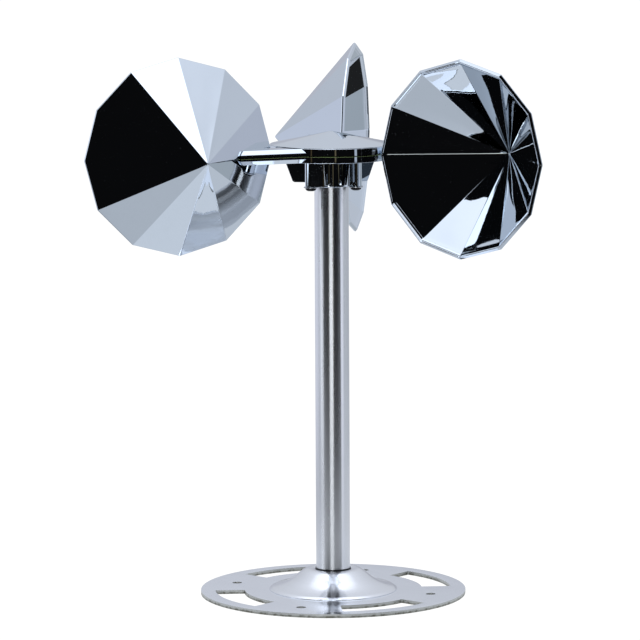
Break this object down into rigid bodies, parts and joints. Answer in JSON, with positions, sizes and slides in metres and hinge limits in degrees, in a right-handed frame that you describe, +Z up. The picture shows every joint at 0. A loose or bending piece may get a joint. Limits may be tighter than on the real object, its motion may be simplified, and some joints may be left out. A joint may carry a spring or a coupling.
{
  "type": "cup anemometer",
  "caption": "Cup anemometer: a mirror-plated rotor of pointed twelve-sided cups on a ball-bearing hub, on a steel tube with a slotted round base.",
  "frame": {"origin": "centre of the base plate's underside, on the post's axis", "axes": "+Z up along the post; two of the base's bolt holes lie on the X axis and two on the Y axis"},
  "size_m": [0.3244, 0.3086, 0.398],
  "materials": {
    "polished_steel": "polished stainless sheet with fine rolling scratches and a raw cut edge",
    "spun_steel": "satin spun stainless with fine rings round its axis",
    "brushed_tube": "stainless tube with fine lengthwise grain",
    "mirror_plating": "mirror-bright chrome plating on moulded plastic",
    "seal_rubber": "matt black rubber",
    "zinc_steel": "bright zinc-plated steel",
    "bearing_steel": "ground and polished bearing steel",
    "turned_aluminium": "fine-turned aluminium"
  },
  "bodies": {
    "stand": {"base_plate": "polished_steel", "weld_bead": "polished_steel", "flange_cover": "spun_steel", "cover_seal": "seal_rubber", "mast_tube": "brushed_tube", "tube_plug": "turned_aluminium", "spindle": "zinc_steel", "shim_washer": "zinc_steel", "lower_bearing_inner_ring": "bearing_steel", "bearing_spacer": "turned_aluminium", "upper_bearing_inner_ring": "bearing_steel", "nut_washer": "zinc_steel", "lock_nut": "zinc_steel"},
    "rotor": {"lower_bearing_outer_ring": "bearing_steel", "lower_bearing_lower_shield": "zinc_steel", "lower_bearing_upper_shield": "zinc_steel", "upper_bearing_outer_ring": "bearing_steel", "upper_bearing_lower_shield": "zinc_steel", "upper_bearing_upper_shield": "zinc_steel", "hub_lower_shell": "mirror_plating", "hub_upper_shell": "mirror_plating", "hub_cap": "mirror_plating", "cup_a": "mirror_plating", "cup_b": "mirror_plating", "cup_c": "mirror_plating", "hub_screw_a": "zinc_steel", "hub_screw_b": "zinc_steel", "hub_screw_c": "zinc_steel", "screw_washer_a": "zinc_steel", "screw_washer_b": "zinc_steel", "screw_washer_c": "zinc_steel"},
    "lower_balls": {"lower_bearing_balls": "bearing_steel"},
    "upper_balls": {"upper_bearing_balls": "bearing_steel"}
  },
  "joints": [
    {"name": "rotor_spin", "type": "hinge", "parent": "stand", "child": "rotor", "pos_m": [0, 0, 0.3265], "axis": [0, 0, 1], "continuous": true},
    {"name": "lower_balls_orbit", "type": "hinge", "parent": "stand", "child": "lower_balls", "pos_m": [0, 0, 0.309], "axis": [0, 0, 1], "continuous": true},
    {"name": "upper_balls_orbit", "type": "hinge", "parent": "stand", "child": "upper_balls", "pos_m": [0, 0, 0.322], "axis": [0, 0, 1], "continuous": true}
  ],
  "couplings": [
    {"joint": "lower_balls_orbit", "follows": "rotor_spin", "ratio": 0.6303},
    {"joint": "upper_balls_orbit", "follows": "rotor_spin", "ratio": 0.6303}
  ]
}
